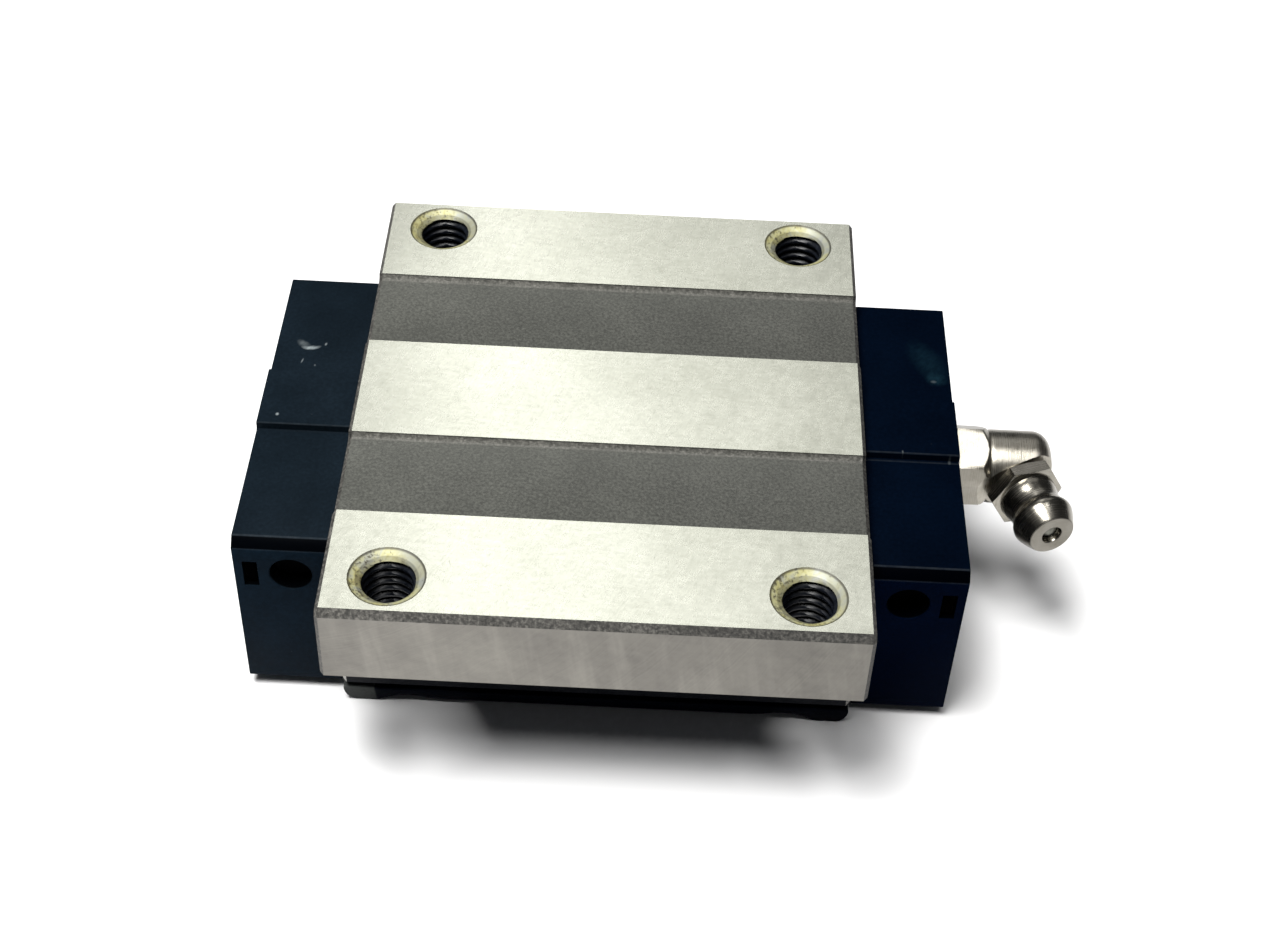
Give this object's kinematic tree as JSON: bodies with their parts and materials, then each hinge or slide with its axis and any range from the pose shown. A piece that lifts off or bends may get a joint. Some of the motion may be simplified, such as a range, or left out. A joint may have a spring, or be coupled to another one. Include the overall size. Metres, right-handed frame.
{
  "type": "linear guide carriage",
  "caption": "Flanged recirculating-ball carriage for a profiled linear guide rail, with black end caps and an angled grease nipple.",
  "frame": {"origin": "centre of the ground mounting face on top of the steel block", "axes": "+Z out of the mounting face, +X along the rail towards the grease nipple, +Y across the rail"},
  "size_m": [0.0849, 0.063, 0.0248],
  "materials": {
    "ground_steel": "ground",
    "black_resin": "moulded",
    "seal_resin": "moulded",
    "seal_rubber": "matt",
    "inner_resin": "moulded",
    "dark_steel": "black oxide",
    "nickel_plate": "nickel plated",
    "ball_steel": "polished",
    "spring_steel": "drawn"
  },
  "bodies": {
    "carriage": {"carriage_block": "ground_steel", "end_cap_left": "black_resin", "end_cap_right": "black_resin", "end_seal_left": "seal_resin", "end_seal_right": "seal_resin", "seal_lip_left": "seal_rubber", "seal_lip_right": "seal_rubber", "bottom_seal_front": "seal_resin", "bottom_seal_rear": "seal_resin", "top_ball_retainer": "inner_resin", "side_ball_retainer_front": "inner_resin", "side_ball_retainer_rear": "inner_resin", "cap_screw_left_1": "dark_steel", "cap_screw_left_2": "dark_steel", "cap_screw_left_3": "dark_steel", "cap_screw_left_4": "dark_steel", "cap_screw_right_1": "dark_steel", "cap_screw_right_2": "dark_steel", "cap_screw_right_3": "dark_steel", "cap_screw_right_4": "dark_steel", "port_plug": "dark_steel", "grease_adapter": "nickel_plate", "grease_nipple": "nickel_plate", "check_spring": "spring_steel", "turn_guide_left_front_upper": "inner_resin", "turn_guide_right_front_upper": "inner_resin", "turn_guide_left_front_lower": "inner_resin", "turn_guide_right_front_lower": "inner_resin", "turn_guide_left_rear_upper": "inner_resin", "turn_guide_right_rear_upper": "inner_resin", "turn_guide_left_rear_lower": "inner_resin", "turn_guide_right_rear_lower": "inner_resin"},
    "nipple_ball": {"check_ball": "ball_steel"},
    "loaded_row_front_upper": {"balls_loaded_front_upper": "ball_steel"},
    "return_row_front_upper": {"balls_return_front_upper": "ball_steel"},
    "turn_left_front_upper": {"balls_turn_left_front_upper": "ball_steel"},
    "turn_right_front_upper": {"balls_turn_right_front_upper": "ball_steel"},
    "loaded_row_front_lower": {"balls_loaded_front_lower": "ball_steel"},
    "return_row_front_lower": {"balls_return_front_lower": "ball_steel"},
    "turn_left_front_lower": {"balls_turn_left_front_lower": "ball_steel"},
    "turn_right_front_lower": {"balls_turn_right_front_lower": "ball_steel"},
    "loaded_row_rear_upper": {"balls_loaded_rear_upper": "ball_steel"},
    "return_row_rear_upper": {"balls_return_rear_upper": "ball_steel"},
    "turn_left_rear_upper": {"balls_turn_left_rear_upper": "ball_steel"},
    "turn_right_rear_upper": {"balls_turn_right_rear_upper": "ball_steel"},
    "loaded_row_rear_lower": {"balls_loaded_rear_lower": "ball_steel"},
    "return_row_rear_lower": {"balls_return_rear_lower": "ball_steel"},
    "turn_left_rear_lower": {"balls_turn_left_rear_lower": "ball_steel"},
    "turn_right_rear_lower": {"balls_turn_right_rear_lower": "ball_steel"}
  },
  "joints": [
    {"name": "nipple_ball_press", "type": "slide", "parent": "carriage", "child": "nipple_ball", "axis": [-0.3355, 0.9421, 0], "range_m": [0, 0.0007], "stiffness_N_per_m": 300, "springref_m": -0.0008},
    {"name": "roll_front_upper", "type": "slide", "parent": "carriage", "child": "loaded_row_front_upper", "axis": [1, 0, 0], "range_m": [-0.00188, 0.00188]},
    {"name": "return_front_upper", "type": "slide", "parent": "carriage", "child": "return_row_front_upper", "axis": [1, 0, 0], "range_m": [-0.0019, 0.0019]},
    {"name": "turn_left_front_upper", "type": "hinge", "parent": "carriage", "child": "turn_left_front_upper", "pos_m": [-0.02625, -0.0125, -0.01085], "axis": [0, -0.8147, -0.5799], "range_deg": [-30, 30]},
    {"name": "turn_right_front_upper", "type": "hinge", "parent": "carriage", "child": "turn_right_front_upper", "pos_m": [0.02625, -0.0125, -0.01085], "axis": [0, -0.8147, -0.5799], "range_deg": [-30, 30]},
    {"name": "roll_front_lower", "type": "slide", "parent": "carriage", "child": "loaded_row_front_lower", "axis": [1, 0, 0], "range_m": [-0.00189, 0.00189]},
    {"name": "return_front_lower", "type": "slide", "parent": "carriage", "child": "return_row_front_lower", "axis": [1, 0, 0], "range_m": [-0.0019, 0.0019]},
    {"name": "turn_left_front_lower", "type": "hinge", "parent": "carriage", "child": "turn_left_front_lower", "pos_m": [-0.02625, -0.0139, -0.01795], "axis": [0, -0.3599, -0.933], "range_deg": [-30, 30]},
    {"name": "turn_right_front_lower", "type": "hinge", "parent": "carriage", "child": "turn_right_front_lower", "pos_m": [0.02625, -0.0139, -0.01795], "axis": [0, -0.3599, -0.933], "range_deg": [-30, 30]},
    {"name": "roll_rear_upper", "type": "slide", "parent": "carriage", "child": "loaded_row_rear_upper", "axis": [1, 0, 0], "range_m": [-0.00188, 0.00188]},
    {"name": "return_rear_upper", "type": "slide", "parent": "carriage", "child": "return_row_rear_upper", "axis": [1, 0, 0], "range_m": [-0.0019, 0.0019]},
    {"name": "turn_left_rear_upper", "type": "hinge", "parent": "carriage", "child": "turn_left_rear_upper", "pos_m": [-0.02625, 0.0125, -0.01085], "axis": [0, -0.8147, 0.5799], "range_deg": [-30, 30]},
    {"name": "turn_right_rear_upper", "type": "hinge", "parent": "carriage", "child": "turn_right_rear_upper", "pos_m": [0.02625, 0.0125, -0.01085], "axis": [0, -0.8147, 0.5799], "range_deg": [-30, 30]},
    {"name": "roll_rear_lower", "type": "slide", "parent": "carriage", "child": "loaded_row_rear_lower", "axis": [1, 0, 0], "range_m": [-0.00189, 0.00189]},
    {"name": "return_rear_lower", "type": "slide", "parent": "carriage", "child": "return_row_rear_lower", "axis": [1, 0, 0], "range_m": [-0.0019, 0.0019]},
    {"name": "turn_left_rear_lower", "type": "hinge", "parent": "carriage", "child": "turn_left_rear_lower", "pos_m": [-0.02625, 0.0139, -0.01795], "axis": [0, -0.3599, 0.933], "range_deg": [-30, 30]},
    {"name": "turn_right_rear_lower", "type": "hinge", "parent": "carriage", "child": "turn_right_rear_lower", "pos_m": [0.02625, 0.0139, -0.01795], "axis": [0, -0.3599, 0.933], "range_deg": [-30, 30]}
  ],
  "couplings": [
    {"joint": "return_front_upper", "follows": "roll_front_upper", "ratio": -1},
    {"joint": "turn_left_front_upper", "follows": "roll_front_upper", "rad_per_m": 276.16},
    {"joint": "turn_right_front_upper", "follows": "roll_front_upper", "rad_per_m": 276.16},
    {"joint": "return_front_lower", "follows": "roll_front_lower", "ratio": -1},
    {"joint": "turn_left_front_lower", "follows": "roll_front_lower", "rad_per_m": 266.57},
    {"joint": "turn_right_front_lower", "follows": "roll_front_lower", "rad_per_m": 266.57},
    {"joint": "return_rear_upper", "follows": "roll_rear_upper", "ratio": -1},
    {"joint": "turn_left_rear_upper", "follows": "roll_rear_upper", "rad_per_m": 276.16},
    {"joint": "turn_right_rear_upper", "follows": "roll_rear_upper", "rad_per_m": 276.16},
    {"joint": "return_rear_lower", "follows": "roll_rear_lower", "ratio": -1},
    {"joint": "turn_left_rear_lower", "follows": "roll_rear_lower", "rad_per_m": 266.57},
    {"joint": "turn_right_rear_lower", "follows": "roll_rear_lower", "rad_per_m": 266.57}
  ]
}
